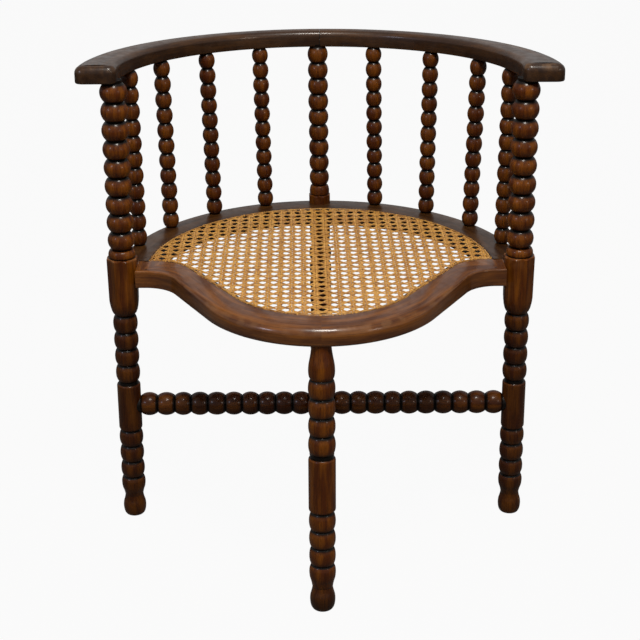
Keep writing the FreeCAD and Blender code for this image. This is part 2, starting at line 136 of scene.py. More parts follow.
def pattern(tree, grain, size_mm, detail):
    """Noise stretched to a pattern of the given size along and across the grain."""
    scale = [1 / (size * MM) for size in size_mm]
    stretched = add_node(tree, "ShaderNodeVectorMath", {"operation": "MULTIPLY"}, {0: grain, 1: scale})
    noise = {"Vector": stretched.outputs[0], "Scale": 1.0, "Detail": detail, "Roughness": 0.55}
    return add_node(tree, "ShaderNodeTexNoise", {"noise_dimensions": "3D"}, noise).outputs["Fac"]


def layered(tree, colour, layers):
    """Lays colours over the first; a layer is its value, its ramp and its colour.

    A ramp says where the value starts to show, where it shows fully and how strongly that is. A layer with
    no ramp shows by its value itself.
    """
    for value, ramp, hex_colour in layers:
        if ramp:
            start, full, most = ramp
            limits = {"Value": value, "From Min": start, "From Max": full, "To Max": most}
            value = add_node(tree, "ShaderNodeMapRange", EASED, limits).outputs["Result"]
        mix = {0: value, 6: colour, 7: linear(hex_colour)}
        colour = add_node(tree, "ShaderNodeMix", {"data_type": "RGBA"}, mix).outputs[2]
    return colour


print("a figure of 90 mm fits %.1f times into a metre" % (1 / (90 * MM)))

# %% [markdown]
# ## Stained and polished oak
# Oak has long open pores and darker growth lines that run with the grain. Here it was stained dark brown,
# polished with shellac and handled for a century: grooves hold dark wax, raised parts are rubbed to amber,
# and a few edges are worn pale. A picture of wood would slide over the beads, so the pattern is drawn in
# grain coordinates that each piece carries, with x along the grain, and every piece looks cut from its own
# plank. Two more values ride on each mesh. One darkens it, for the wax in its grooves and for painted shade
# in those grooves, in recesses, on the arm's sides and under the seat. The other lightens it for wear, and
# on the top edge of the posts' blocks also for a painted highlight.

# %% Stained oak
# Sizes in millimetres along the grain and across it
FIGURE_MM = (90.0, 11.0, 11.0)
GROWTH_MM = (60.0, 1.4, 1.4)
# Oak pores are about 0.3 mm wide, too fine to show from here, so they are drawn three times as coarse
PORE_MM = (14.0, 0.9, 0.9)
MOTTLE_MM = (16.0, 16.0, 16.0)


def oak(name, dark, stain, amber, wax_and_shade, worn_and_highlight, roughness, dull, film):
    """Stained, shellacked oak: growth lines, open pores, wax and painted shade in the grooves, and wear on
    the edges with a painted highlight on the blocks' chamfers.
    """
    material, tree = new_material(name)
    grain = add_node(tree, "ShaderNodeAttribute", {"attribute_name": "grain"}).outputs["Vector"]
    grime_and_shade = add_node(tree, "ShaderNodeAttribute", {"attribute_name": "grime_and_shade"}).outputs["Fac"]
    wear_and_highlight = add_node(tree, "ShaderNodeAttribute", {"attribute_name": "wear_and_highlight"}).outputs["Fac"]
    figure = pattern(tree, grain, FIGURE_MM, 3.0)
    growth = pattern(tree, grain, GROWTH_MM, 4.0)
    pores = pattern(tree, grain, PORE_MM, 2.0)
    mottle = pattern(tree, grain, MOTTLE_MM, 3.0)

    # Wear comes in patches, because hands and sleeves don't rub evenly
    limits = {"Value": mottle, "From Min": 0.42, "From Max": 0.62}
    patches = add_node(tree, "ShaderNodeMapRange", EASED, limits).outputs["Result"]
    rubbed_and_highlight = add_node(tree, "ShaderNodeMath", {"operation": "MULTIPLY"}, {0: wear_and_highlight, 1: patches})
    layers = (
        (figure, (0.36, 0.66, 1.0), amber),
        (growth, (0.44, 0.70, 0.48), dark),
        (pores, (0.60, 0.72, 0.55), wax_and_shade),
        # Dark wax in the grooves, and painted shade in grooves, recesses, on the arm's sides and under the
        # seat
        (grime_and_shade, (0.05, 0.62, 1.0), wax_and_shade),
        # Pale wear on the edges, which on the chamfer of the posts' blocks is also a painted highlight
        (rubbed_and_highlight.outputs[0], None, worn_and_highlight),
    )
    colour = layered(tree, linear(stain), layers)

    limits = {"Value": mottle, "From Min": 0.3, "From Max": 0.7}
    limits.update({"To Min": roughness, "To Max": roughness + 0.16})
    shine = add_node(tree, "ShaderNodeMapRange", EASED, limits).outputs["Result"]
    relief = add_node(tree, "ShaderNodeMath", {"operation": "MULTIPLY_ADD"}, {0: pores, 1: -0.6, 2: mottle})
    height = {"Strength": 0.25, "Distance": 0.4 * MM, "Height": relief.outputs[0]}
    bump = add_node(tree, "ShaderNodeBump", {}, height)
    # The old wax has gone dull, so the wood reflects little, and a thin film of shellac shines over it
    surface_values = {
        "Base Color": colour,
        "Roughness": shine,
        "IOR": 1.5,
        "Specular IOR Level": dull,
        "Coat Weight": film,
        "Coat Roughness": 0.14,
        "Coat IOR": 1.5,
        "Normal": bump.outputs["Normal"],
    }
    shader = add_node(tree, "ShaderNodeBsdfPrincipled", {}, surface_values)
    add_node(tree, "ShaderNodeOutputMaterial", {}, {"Surface": shader.outputs["BSDF"]})
    return material


# %% The four finishes of the oak
# Turned work was dusted along its beads for years, which left them amber with a soft shine
turned_oak = oak(
    "stained_oak_turned", dark="#240d02", stain="#4c2207", amber="#74400c", wax_and_shade="#080301", worn_and_highlight="#7c5230",
    roughness=0.32, dull=0.10, film=0.15,
)
# The arm and the back of the seat are flat sawn and nearly black from handling, with a greyer sheen
arm_oak = oak(
    "stained_oak_arm", dark="#190b04", stain="#2e1908", amber="#462b11", wax_and_shade="#0a0502", worn_and_highlight="#6e5238",
    roughness=0.32, dull=0.24, film=0.20,
)
# The front rails are rubbed by clothes, so they are the lightest and the shiniest
rail_oak = oak(
    "stained_oak_rail", dark="#2b1406", stain="#522b0f", amber="#7a481a", wax_and_shade="#0e0602", worn_and_highlight="#8e6640",
    roughness=0.30, dull=0.22, film=0.32,
)
# End grain drinks the stain, which leaves it dark and dull
peg_oak = oak(
    "stained_oak_end_grain", dark="#1d0e06", stain="#2f190c", amber="#3f220f", wax_and_shade="#120904", worn_and_highlight="#5a4028",
    roughness=0.40, dull=0.2, film=0.1,
)
print("made", [material.name for material in (turned_oak, arm_oak, rail_oak, peg_oak)])

# %% [markdown]
# ## Split cane
# The seat is woven from the glossy outer skin of rattan, split into strips about 3 mm wide. New cane is
# straw yellow and it ages to honey. Each strip keeps its own tone along its length, with brown flecks
# where the leaves grew, and fine fibres run along it. The skin is naturally glazed, so it has a low sheen
# on a hard, slightly ribbed surface. Painted shade darkens the edges of each strip, which parts it from
# its neighbours.

# %% Cane
# Fibres are 0.2 mm wide; they are drawn at 0.5 mm to show
FIBRE_MM = (20.0, 0.5, 0.5)
FLECK_MM = (9.0, 2.0, 2.0)
TONE_MM = (120.0, 60.0, 60.0)


def split_cane(name):
    """Aged rattan skin: a tone for each strip, brown flecks and fine fibres."""
    material, tree = new_material(name)
    grain = add_node(tree, "ShaderNodeAttribute", {"attribute_name": "grain"}).outputs["Vector"]
    grime_and_shade = add_node(tree, "ShaderNodeAttribute", {"attribute_name": "grime_and_shade"}).outputs["Fac"]
    fibre = pattern(tree, grain, FIBRE_MM, 2.0)
    layers = (
        (pattern(tree, grain, TONE_MM, 1.0), (0.32, 0.68, 1.0), "#d6a04b"),
        (pattern(tree, grain, FLECK_MM, 3.0), (0.48, 0.68, 0.9), "#744012"),
        (fibre, (0.52, 0.72, 0.35), "#edc486"),
        # Painted shade at the edges of the strips and of the binding
        (grime_and_shade, None, "#4e2f12"),
    )
    colour = layered(tree, linear("#b0782b"), layers)
    bump = add_node(tree, "ShaderNodeBump", {}, {"Strength": 0.3, "Distance": 0.1 * MM, "Height": fibre})
    surface_values = {
        "Base Color": colour,
        "Roughness": 0.4,
        "IOR": 1.5,
        "Specular IOR Level": 0.4,
        "Normal": bump.outputs["Normal"],
    }
    shader = add_node(tree, "ShaderNodeBsdfPrincipled", {}, surface_values)
    add_node(tree, "ShaderNodeOutputMaterial", {}, {"Surface": shader.outputs["BSDF"]})
    return material


honey_cane = split_cane("split_cane_honey")
print("made", honey_cane.name)

# %% [markdown]
# ## From points to a piece
# Every piece is built as a plain list of points and faces, because turned work, swept rails and woven
# strips all have a simple rule that gives their surface directly. One function makes the mesh, stores the
# grain, the darkening by grime and painted shade, and the wear and painted highlight, smooths it except at
# true edges, and hides the CAD nodes that it stands for. Each piece gets its own shift along the plank from
# a seeded generator, so no two show the same figure.

# %% A surface of points and faces
class Surface:
    """Points in millimetres with their grain place, darkening by grime and painted shade, wear and painted
    highlight, and the faces between them.
    """

    def __init__(self):
        self.points = []
        self.grain = []
        self.grime_and_shade = []
        self.wear_and_highlight = []
        self.faces = []

    def add(self, point, grain, grime_and_shade=0.0, wear_and_highlight=0.0):
        """Adds a point and returns its number."""
        self.points.append(point)
        self.grain.append(grain)
        self.grime_and_shade.append(grime_and_shade)
        self.wear_and_highlight.append(wear_and_highlight)
        return len(self.points) - 1

    def skin(self, rows, closed):
        """Quads between neighbouring rows of point numbers; closed rows join their ends."""
        for lower, upper in zip(rows, rows[1:]):
            count = len(lower)
            for i in range(count if closed else count - 1):
                j = (i + 1) % count
                self.faces.append((lower[i], lower[j], upper[j], upper[i]))

    def tube(self, rows):
        """A skin over closed rows, with a face over each end."""
        self.skin(rows, True)
        self.faces.append(tuple(rows[0]))
        self.faces.append(tuple(rows[-1]))


print("a surface keeps", sorted(vars(Surface())))

# %% The piece maker
planks = random.Random(7)
CREASE_ANGLE = math.radians(38)


def piece(name, surface, material, nodes, crease=CREASE_ANGLE):
    """Makes the mesh object, gives it its finish and lets it stand for its CAD nodes."""
    mesh = bpy.data.meshes.new(name)
    shift = Vector((planks.uniform(0, 3000), planks.uniform(0, 500), planks.uniform(0, 500)))
    mesh.from_pydata([metres(*point) for point in surface.points], [], surface.faces)
    grain = mesh.attributes.new("grain", "FLOAT_VECTOR", "POINT")
    values = []
    for place in surface.grain:
        values.extend((Vector(place) + shift) * MM)
    grain.data.foreach_set("vector", values)
    for label, numbers in (("grime_and_shade", surface.grime_and_shade), ("wear_and_highlight", surface.wear_and_highlight)):
        mesh.attributes.new(label, "FLOAT", "POINT").data.foreach_set("value", numbers)
    shaping = bmesh.new()
    shaping.from_mesh(mesh)
    bmesh.ops.recalc_face_normals(shaping, faces=shaping.faces)
    shaping.to_mesh(mesh)
    shaping.free()
    mesh.shade_smooth()
    mesh.set_sharp_from_angle(angle=crease)
    mesh.materials.append(material)
    made = bpy.data.objects.new(name, mesh)
    bpy.context.scene.collection.objects.link(made)
    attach(made, "root")
    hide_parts(*nodes)
    print("%-24s %6d faces" % (name, len(mesh.polygons)))
    return made


print("an edge stays sharp above %.0f degrees" % math.degrees(CREASE_ANGLE))

# %% [markdown]
# ## Turned work
# A lathe gives a shape that is fully said by its outline: how wide it is at each height. Bobbin turning is
# a run of beads with a tight groove between them. A bead is not a ball on a string: its sides stay full
# and then drop steeply into the groove, so its outline is drawn with a power curve, squarer for the
# drum-like leg beads and rounder for the spindles. Spheres on a rod would be quicker, but would show gaps
# where the wood has none.

# %% Outlines for the lathe
BEAD_STEPS = 12
# The power and the fullness of a bead's side
BALL = (2.05, 0.86)
DRUM = (2.2, 0.78)


def beads(low, high, count, belly, neck, form, hand=None):
    """(height, width, groove) up a run of beads between two necks; hand makes each a little uneven."""
    power, fullness = form
    pitch = (high - low) / count
    edges = [low + i * pitch for i in range(count + 1)]
    if hand:
        for i in range(1, count):
            edges[i] += hand.uniform(-0.02, 0.02) * pitch
    rings = []
    for start, end in zip(edges, edges[1:]):
        width = belly * (1 + (hand.uniform(-0.012, 0.004) if hand else 0))
        for step in range(BEAD_STEPS):
            turn = -math.cos(math.pi * step / BEAD_STEPS)
            swell = (1 - abs(turn) ** power) ** fullness
            height = (start + end) / 2 + turn * (end - start) / 2
            rings.append((height, neck + (width - neck) * swell, (1 - swell) ** 1.6))
    rings.append((edges[-1], neck, 1.0))
    return rings


def flowing(points, steps=5):
    """(height, width, groove) along a smooth curve through a few measured points."""
    rings = []
    for i in range(len(points) - 1):
        before = points[max(i - 1, 0)]
        here, after = points[i], points[i + 1]
        beyond = points[min(i + 2, len(points) - 1)]
        for step in range(steps):
            t = step / steps
            values = []
            for a, b, c, d in zip(before, here, after, beyond):
                curve = 2 * b + (c - a) * t + (2 * a - 5 * b + 4 * c - d) * t ** 2
                curve += (3 * b - a - 3 * c + d) * t ** 3
                values.append(0.5 * curve)
            rings.append((*values, 0.0))
    rings.append((*points[-1], 0.0))
    return rings


print("rings in a run of eleven beads:", len(beads(0, 250, 11, 24.5, 17.0, BALL)))

# %% Painted shade below the seat, and darker turnings at the back
# Below the seat the wood is darkened by painted shade, and the back post and spindles are darker than the
# side posts
SHADE_BELOW_SEAT = 0.31
DARK_BACK = 0.22


def darkened(rings, depth, fade=None):
    """Deepens the grime-and-shade value of the rings; with fade, only of those below its two heights, easing
    off.
    """
    changed = []
    for height, width, grime_and_shade, *worn_and_highlight in rings:
        share = 1.0
        if fade:
            full_below, none_above = fade
            share = clamped((none_above - height) / (none_above - full_below))
        changed.append((height, width, max(grime_and_shade, depth * share), *worn_and_highlight))
    return changed


# The value printed is how strongly painted shade darkens the wood below the seat
print("old stain below the seat counts as %.0f %% of a groove" % (100 * SHADE_BELOW_SEAT))

# %% Turning an outline into a surface
FLAT_TURN = math.tau / 8
# Seven points to each eighth of a turn, with two close to the arris so that it is softened but stays an edge
EIGHTH = (-0.455, -0.33, -0.165, 0.0, 0.165, 0.33, 0.455)
TURN_ANGLES = [(side + share) * FLAT_TURN for side in range(8) for share in EIGHTH]
TOWARDS_FRONT = Vector((0, -1, 0))
UPWARDS = Vector((0, 0, 1))


def turned(surface, outline, foot, up, front=TOWARDS_FRONT, block=None):
    """Adds a turned piece that stands at foot and points along up.

    block(height) gives half the width across the flats where the piece is octagonal, or None where round.
    """
    up = up.normalized()
    side = front.cross(up).normalized()
    front = up.cross(side)
    rows = []
    for height, width, grime_and_shade, *worn_and_highlight in outline:
        row = []
        for angle in TURN_ANGLES:
            radius = width / 2
            flat = block(height) if block else None
            if flat:
                off_flat = (angle + FLAT_TURN / 2) % FLAT_TURN - FLAT_TURN / 2
                radius = min(radius, flat / math.cos(off_flat))
            across = side * math.cos(angle) * radius + front * math.sin(angle) * radius
            point = foot + up * height + across
            point.z = max(point.z, 0.0)
            grain = (height, radius * math.cos(angle), radius * math.sin(angle))
            row.append(surface.add(point, grain, grime_and_shade, worn_and_highlight[0] if worn_and_highlight else 0.0))
        rows.append(row)
    surface.tube(rows)


print("points round a turned piece:", len(TURN_ANGLES))

# %% [markdown]
# ## The legs
# From the floor up, each leg has an onion-shaped foot, a bead that flows out of the ankle, three drum
# beads, a plain length for the stretcher, and four more beads. All four legs follow that order with their
# own sizes, so one outline takes the sizes of a leg. The three posts share theirs.

# %% Leg outlines
ANKLE_HEIGHT = 33.0
# (height, width) of the foot, from just under the floor line to the ankle
FOOT = (
    (-3.0, 25.0), (0.0, 28.5), (3.0, 31.8), (8.0, 34.0),
    (14.0, 34.7), (20.0, 33.4), (27.0, 29.6), (33.0, 27.6),
)
# How the lowest bead swells: shares of its height and of its belly
FIRST_SWELL = ((0.0, 0.0), (0.2, 0.3), (0.42, 0.82), (0.62, 1.0), (0.8, 0.93), (0.93, 0.6))
PLAIN_EASE = 3.6
EASE_STEPS = 4
# Runs are low, high, belly or width, and neck
POST_LEG = {
    "foot_share": 1.0,
    "ankle": 27.6,
    "three_beads": (66.1, 146.6, 36.2, 28.0),
    "plain_length": (147.6, 224.4, 35.0, 28.4),
    "four_beads": (228.1, 336.2, 36.3, 27.4),
}


def first_bead(ankle, neck_height, belly, neck):
    """The lowest bead flows out of the ankle and ends in a groove."""
    span = neck_height - ANKLE_HEIGHT
    points = [(ANKLE_HEIGHT + share * span, ankle + (belly - ankle) * swell) for share, swell in FIRST_SWELL]
    return flowing(points)[1:] + [(neck_height, neck, 1.0)]


def plain_length(low, high, width, neck):
    """The straight length that takes the stretcher, rounded over at both ends."""
    rounded = []
    for step in range(EASE_STEPS + 1):
        turn = math.pi / 2 * step / EASE_STEPS
        wide = neck + (width - neck) * math.sin(turn)
        rounded.append((PLAIN_EASE * (1 - math.cos(turn)), wide, 0.9 * (1 - math.sin(turn))))
    rings = [(low + rise, wide, grime_and_shade) for rise, wide, grime_and_shade in rounded]
    for step in range(1, 8):
        rings.append((low + PLAIN_EASE + (high - low - 2 * PLAIN_EASE) * step / 8, width, 0.0))
    rings += [(high - rise, wide, grime_and_shade) for rise, wide, grime_and_shade in reversed(rounded)]
    return rings


def leg_outline(leg, hand):
    """Everything from the floor up to the groove over the four beads."""
    rings = flowing([(height, width * leg["foot_share"]) for height, width in FOOT])
    low, high, belly, neck = leg["three_beads"]
    rings += first_bead(leg["ankle"], low, belly, neck)
    rings += beads(low, high, 3, belly, neck, DRUM, hand)[1:]
    rings += plain_length(*leg["plain_length"])
    low, high, belly, neck = leg["four_beads"]
    rings += beads(low, high, 4, belly, neck, DRUM, hand)
    return rings


lathe_hand = random.Random(19)
print("the plain length is %.1f mm long" % (POST_LEG["plain_length"][1] - POST_LEG["plain_length"][0]))

# %% [markdown]
# ## The posts
# Each side post is one turning from foot to arm. It was left octagonal where the seat rails are jointed
# into it, and the lathe tool cuts the ends of that block to arches. Drawing the octagon as a limit on the
# turned width gives those arches by themselves, as on the lathe. Above the block come a half bead and nine
# full beads under the arm. The side posts lean in a little towards the arm. The back post is the same
# pattern, slimmer above the seat, and stands nearly upright.

# %% Block and collar
BLOCK_LOW = 361.0
BLOCK_HIGH = 426.0
BLOCK_ROUND = 338.0
BLOCK_FLATS = 41.5
BLOCK_WIDENS = 1.5
# (height, width, groove, wear) of the lathe's cut through the block: arched below, chamfered above. The wear
# on the chamfer makes a pale line that is partly wear and partly a painted highlight
BLOCK_CUT = (
    (337.2, 30.6, 0.35, 0.0),
    (340.0, 34.8, 0.35, 0.0),
    (344.0, 38.0, 0.0, 0.0),
    (349.0, 40.4, 0.0, 0.0),
    (355.0, 42.6, 0.0, 0.0),
    (361.0, 45.0, 0.0, 0.0),
    (367.0, 48.0, 0.0, 0.0),
    (380.0, 48.0, 0.0, 0.0),
    (395.0, 48.0, 0.0, 0.0),
    (410.0, 48.0, 0.0, 0.0),
    (422.8, 48.0, 0.0, 0.3),
    (424.2, 46.0, 0.0, 1.0),
    (425.4, 43.0, 0.0, 1.0),
    (426.0, 40.0, 0.3, 0.4),
    (426.2, 37.0, 0.9, 0.0),
    (426.4, 36.6, 0.8, 0.0),
)
COLLAR_FOOT = 427.4
COLLAR_LOW = 429.6
COLLAR_STEPS = 6


def block_flats(share):
    """A function for half the width across the flats, which widens a little upwards."""

    def flats(height):
        if height < BLOCK_ROUND or height > BLOCK_HIGH + 0.5:
            return None
        rise = (height - BLOCK_LOW) / (BLOCK_HIGH - BLOCK_LOW)
        return (BLOCK_FLATS + BLOCK_WIDENS * rise) / 2 * share

    return flats


def collar(high, belly, neck):
    """The half bead above the block, cut off at its widest."""
    rings = [(COLLAR_FOOT, belly * 0.985, 0.3)]
    for step in range(COLLAR_STEPS + 1):
        turn = math.pi / 2 * step / COLLAR_STEPS
        swell = math.cos(turn) ** 0.7 if step < COLLAR_STEPS else 0.0
        height = COLLAR_LOW + (high - COLLAR_LOW) * math.sin(turn)
        rings.append((height, neck + (belly - neck) * swell, 0.5 * (1 - swell)))
    return rings


print("the block's lowest ring is %.1f mm up" % BLOCK_CUT[0][0])

# %% Side posts and back post
ARM_UNDER_BACK = 668.5
ARM_SLOPE = math.radians(2.8)
INTO_ARM = 4.0
SIDE_SPLAY = math.radians(0.65)
# The back post leans a little to the left, about its place in the seat
BACK_LEAN = math.radians(0.45)
BACK_SHIFT = -1.0
BACK_SHARE = 34.0 / 43.0
SHADE_BELOW_SEAT_FADES = (338.0, 375.0)


def arm_underside(y):
    """The arm rises towards its front ends."""
    return ARM_UNDER_BACK + (RING_RADIUS - y) * math.tan(ARM_SLOPE)


def post_outline(share, belly, neck, neck_low, top):
    """A whole post; share is the size of its block, and neck_low is where the nine beads start."""
    block = [(height, width * share, grime_and_shade, wear_and_highlight) for height, width, grime_and_shade, wear_and_highlight in BLOCK_CUT]
    # Painted shade darkens the post below the seat and fades out over its block
    rings = darkened(leg_outline(POST_LEG, lathe_hand) + block, SHADE_BELOW_SEAT, SHADE_BELOW_SEAT_FADES)
    rings += collar(neck_low, belly, neck)
    rings += beads(neck_low, top, 9, belly, neck, BALL, lathe_hand)[1:]
    rings.append((top + INTO_ARM, neck, 1.0))
    return rings


side_top = arm_underside(0.0) - 0.6
for label, side in SIDES:
    surface = Surface()
    foot = Vector((side * (RING_RADIUS + SEAT_TOP * math.tan(SIDE_SPLAY)), 0, 0))
    lean = Vector((-side * math.tan(SIDE_SPLAY), 0, 1))
    outline = post_outline(1.0, belly=38.8, neck=25.4, neck_low=438.6, top=side_top)
    turned(surface, outline, foot, lean, block=block_flats(1.0))
    piece("turned_post_" + label, surface, turned_oak, [label + "_post"])

surface = Surface()
outline = post_outline(BACK_SHARE, belly=31.8, neck=21.4, neck_low=442.0, top=arm_underside(RING_RADIUS))
foot = Vector((BACK_SHIFT + SEAT_TOP * math.tan(BACK_LEAN), RING_RADIUS, 0))
lean = Vector((-math.tan(BACK_LEAN), 0, 1))
turned(surface, darkened(outline, DARK_BACK), foot, lean, block=block_flats(BACK_SHARE))
piece("turned_post_back", surface, turned_oak, ["back_post"])

# %% [markdown]
# ## The front leg
# The single front leg is raked forward and carries a vase instead of a block, because it ends under the
# nose of the seat. Its beads are a little stouter than those of the posts, so it is turned from its own
# sizes and not copied. The heights are measured upright, so they are stretched along the leaning axis.

# %% Front leg
RAKE = math.radians(5.8)
FRONT_UNDER_SEAT_Y = -219.4
FRONT_NECK = 26.9
FOOT_DARK = 0.42
FOOT_DARK_FADES = (12.0, 80.0)
FRONT_LEG = {
    "foot_share": 35.4 / 34.7,
    "ankle": 28.9,
    "three_beads": (66.2, 145.1, 36.9, 30.0),
    "plain_length": (146.2, 225.0, 37.4, 30.6),
    "four_beads": (229.3, 336.5, 37.3, 30.0),
}
# (height, width) of the vase, from the groove under it to the neck
VASE = (
    (336.5, 30.5), (339.0, 33.4), (343.0, 35.4), (350.0, 35.9),
    (358.0, 34.4), (368.0, 30.6), (378.0, 27.6), (385.0, 26.9),
)
outline = leg_outline(FRONT_LEG, lathe_hand) + flowing(VASE)[1:]
outline.append((SEAT_UNDER + 3.0, FRONT_NECK, 0.6))
along_rake = []
for height, width, grime_and_shade in darkened(outline, FOOT_DARK, FOOT_DARK_FADES):
    along_rake.append((height / math.cos(RAKE), width, grime_and_shade))
foot = Vector((0, FRONT_UNDER_SEAT_Y - SEAT_UNDER * math.tan(RAKE), 0))
surface = Surface()
turned(surface, along_rake, foot, Vector((0, math.sin(RAKE), math.cos(RAKE))))
piece("raked_front_leg", surface, turned_oak, ["front_leg"])

# %% [markdown]
# ## The spindles
# Eight spindles stand between the posts, four on each side, each a run of eleven round beads. They were
# turned by hand, so no two grooves fall at quite the same height, and their heads were let into the arm by
# eye, so most lean a degree or so. One spindle copied eight times would look cast, so each is turned
# afresh with its own small errors.

# %% Spindles
SPINDLE_STEP = 18
SPINDLE_BELLY = 25.2
SPINDLE_NECK = 15.3
# How far each head stands round the ring from its foot, in degrees, from the side post to the back post
HEAD_TURNS = {"left": (0.0, -0.9, -1.0, -0.9), "right": (-0.3, -1.2, -0.3, 1.0)}


def ring_place(side, degrees):
    """A place in the seat on the ring, counted from the side post."""
    angle = math.radians(degrees)
    return Vector((side * RING_RADIUS * math.cos(angle), RING_RADIUS * math.sin(angle), SEAT_TOP))


for label, side in SIDES:
    for number, head_turn in enumerate(HEAD_TURNS[label], 1):
        foot = ring_place(side, SPINDLE_STEP * number)
        head = ring_place(side, SPINDLE_STEP * number + head_turn)
        head.z = arm_underside(head.y)
        up = head - foot
        outline = [(-4.0, SPINDLE_NECK, 1.0)]
        outline += beads(0.0, up.length, 11, SPINDLE_BELLY, SPINDLE_NECK, BALL, lathe_hand)
        outline.append((up.length + INTO_ARM, SPINDLE_NECK, 1.0))
        surface = Surface()
        turned(surface, darkened(outline, DARK_BACK), foot, up)
        name = "%s_spindle_%d" % (label, number)
        piece("bobbin_" + name, surface, turned_oak, [name])

# %% [markdown]
# ## The stretchers
# Two beaded stretchers cross under the seat. The one from side to side runs through a square block at the
# middle, and the front and back ones are tenoned into that block. All of them enter the plain lengths of
# the legs, far enough that the round leg leaves no gap beside them.

# %% Stretchers
STRETCHER_HEIGHT = 188.0
STRETCHER_BELLY = 35.2
STRETCHER_NECK = 25.4
BLOCK_HALF = 18.0
BLOCK_EASE = 2.0
INTO_LEG = 7.0
POST_HALF = 34.8 / 2
FRONT_LEG_HALF = 37.4 / 2


def crossing_block(surface, half, ease, height):
    """A square block with eased edges: six rings of a rounded square."""
    slight = ease * 0.3
    levels = ((-half, ease), (-half + slight, slight), (-half + ease, 0))
    levels += ((half - ease, 0), (half - slight, slight), (half, ease))
    rows = []
    for z, inset in levels:
        row = []
        for corner in range(4):
            for share in (0.0, 0.5, 1.0):
                turn = (corner + share) * math.pi / 2
                centre_turn = (corner + 0.5) * math.pi / 2
                reach = (half - ease) * math.sqrt(2)
                x = reach * math.cos(centre_turn) + (ease - inset) * math.cos(turn)
                y = reach * math.sin(centre_turn) + (ease - inset) * math.sin(turn)
                row.append(surface.add((x, y, height + z), (y, x, z), 0.0, 0.5 if inset else 0.0))
        rows.append(row)
    surface.tube(rows)


def stretcher(surface, direction, reach, count):
    """Beads from inside the block's face out into the leg."""
    rings = [(BLOCK_HALF - 2.0, STRETCHER_NECK, 1.0)]
    rings += beads(BLOCK_HALF, reach, count, STRETCHER_BELLY, STRETCHER_NECK, BALL, lathe_hand)
    rings.append((reach + INTO_LEG, STRETCHER_NECK, 1.0))
    middle = Vector((0, 0, STRETCHER_HEIGHT))
    # The stretchers lie under the seat, so painted shade darkens them all over
    turned(surface, darkened(rings, SHADE_BELOW_SEAT), middle, Vector(direction), front=UPWARDS)


side_reach = RING_RADIUS + (SEAT_TOP - STRETCHER_HEIGHT) * math.tan(SIDE_SPLAY) - POST_HALF
surface = Surface()
crossing_block(surface, BLOCK_HALF, BLOCK_EASE, STRETCHER_HEIGHT)
stretcher(surface, (1, 0, 0), side_reach, 10)
stretcher(surface, (-1, 0, 0), side_reach, 10)
piece("side_to_side_stretcher", surface, turned_oak, ["cross_stretcher"])

front_reach = -(FRONT_UNDER_SEAT_Y - (SEAT_UNDER - STRETCHER_HEIGHT) * math.tan(RAKE)) - FRONT_LEG_HALF
back_reach = RING_RADIUS - POST_HALF
for end, direction, reach, count in (
    ("front", (0, -1, 0), front_reach, 8),
    ("back", (0, 1, 0), back_reach, 10),
):
    surface = Surface()
    stretcher(surface, direction, reach, count)
    piece("beaded_stretcher_" + end, surface, turned_oak, [end + "_stretcher"])

# %% [markdown]
# ## The arm
# The arm is a half ring of two sawn pieces that meet at the back. Its inner edge follows the ring, and its
# outer edge is drawn from a point further forward, so the arm is widest at its ends. The top is soft all
# round and the underside keeps a crisper edge. A bevel modifier would round both alike, so the shape is a
# stack of outlines: each one is the plan of the arm drawn in a little, at the height where the rounding
# has that depth.

# %% Arm plan
ARM_INNER = 278.0
ARM_OUTER = 336.0
ARM_OUTER_CENTRE = Vector((0, -25.0))
ARM_END_Y = -20.0
ARM_CORNER = 12.0


def arc(centre, radius, start, end, steps, outward=1):
    """(point, outward normal) pairs along an arc, angles in radians."""
    found = []
    for step in range(steps + 1):
        turn = start + (end - start) * step / steps
        direction = Vector((math.cos(turn), math.sin(turn)))
        found.append((Vector(centre) + direction * radius, direction * outward))
    return found


def arm_plan():
    """The right half's outline: from the seam along the outside, round the front end and back inside."""
    centre_y = ARM_OUTER_CENTRE.y
    outer_reach = ARM_OUTER - ARM_CORNER
    corner_y = ARM_END_Y + ARM_CORNER
    outer_corner = (math.sqrt(outer_reach ** 2 - (corner_y - centre_y) ** 2), corner_y)
    inner_corner = (math.sqrt((ARM_INNER + ARM_CORNER) ** 2 - corner_y ** 2), corner_y)
    outer_end = math.atan2(corner_y - centre_y, outer_corner[0])
    inner_end = math.atan2(corner_y, inner_corner[0])
    # A line of points 1 mm from the seam keeps its dark groove narrow
    beside_seam = math.pi / 2 - 1.0 / ARM_OUTER
    outer = arc(ARM_OUTER_CENTRE, ARM_OUTER, math.pi / 2, beside_seam, 1)
    outer += arc(ARM_OUTER_CENTRE, ARM_OUTER, beside_seam, outer_end, 60)[1:]
    outer += arc(outer_corner, ARM_CORNER, outer_end, -math.pi / 2, 8)[1:]
    inner = arc(inner_corner, ARM_CORNER, -math.pi / 2, inner_end - math.pi, 8)
    inner += arc((0, 0), ARM_INNER, inner_end, beside_seam, 60, -1)[1:]
    inner += arc((0, 0), ARM_INNER, beside_seam, math.pi / 2, 1, -1)[1:]
    return outer, inner


outer, inner = arm_plan()
print("points in the arm's plan:", len(outer) + len(inner))

# %% Arm section and finish
ARM_THICK = 25.5
ARM_OUTER_ROUND = 11.0
ARM_INNER_ROUND = 8.0
ARM_LOW_ROUND = 2.2
CROWN = 0.9
LOW_STEPS = 3
ROUND_STEPS = 6
ROUND_START = LOW_STEPS + 1
END_DARK = 0.26
END_DARK_REACH = 120.0
# How much painted shade darkens the arm's upright faces and underside
PAINTED_SIDE_SHADE = 0.27
# How many points either side of the arm's front end show wear
WORN_POINTS = 12


